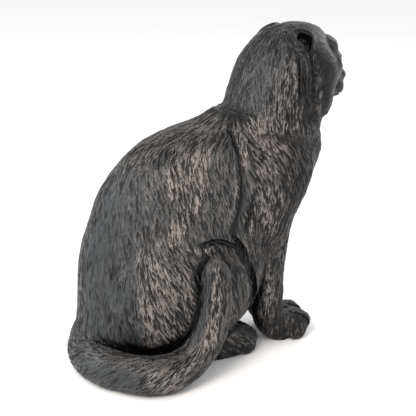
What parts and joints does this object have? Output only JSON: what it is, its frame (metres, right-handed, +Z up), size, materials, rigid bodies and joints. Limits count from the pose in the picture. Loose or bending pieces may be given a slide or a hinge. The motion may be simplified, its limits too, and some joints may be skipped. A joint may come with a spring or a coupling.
{
  "type": "cat figurine",
  "caption": "Dark ceramic figurine of a seated cat with carved fur, its tail curled forward round one haunch.",
  "frame": {"origin": "middle of the bounding box, on the surface the cat sits on", "axes": "+Z up, -Y the way the cat faces, +X the cat's left side"},
  "size_m": [0.1266, 0.1976, 0.208],
  "materials": {
    "body_ceramic": "satin charcoal with lighter dry-brushed ridges",
    "head_ceramic": "satin charcoal with lighter dry-brushed ridges",
    "tail_ceramic": "satin charcoal with warm dry-brushed ridges",
    "eye_glaze": "gloss black"
  },
  "bodies": {
    "root": {"torso": "body_ceramic", "head": "head_ceramic", "left_ear": "head_ceramic", "right_ear": "head_ceramic", "left_eye": "eye_glaze", "right_eye": "eye_glaze", "left_foreleg": "body_ceramic", "right_foreleg": "body_ceramic", "left_haunch": "body_ceramic", "right_haunch": "body_ceramic", "left_hind_foot": "body_ceramic", "right_hind_foot": "body_ceramic", "tail": "tail_ceramic"}
  },
  "joints": []
}
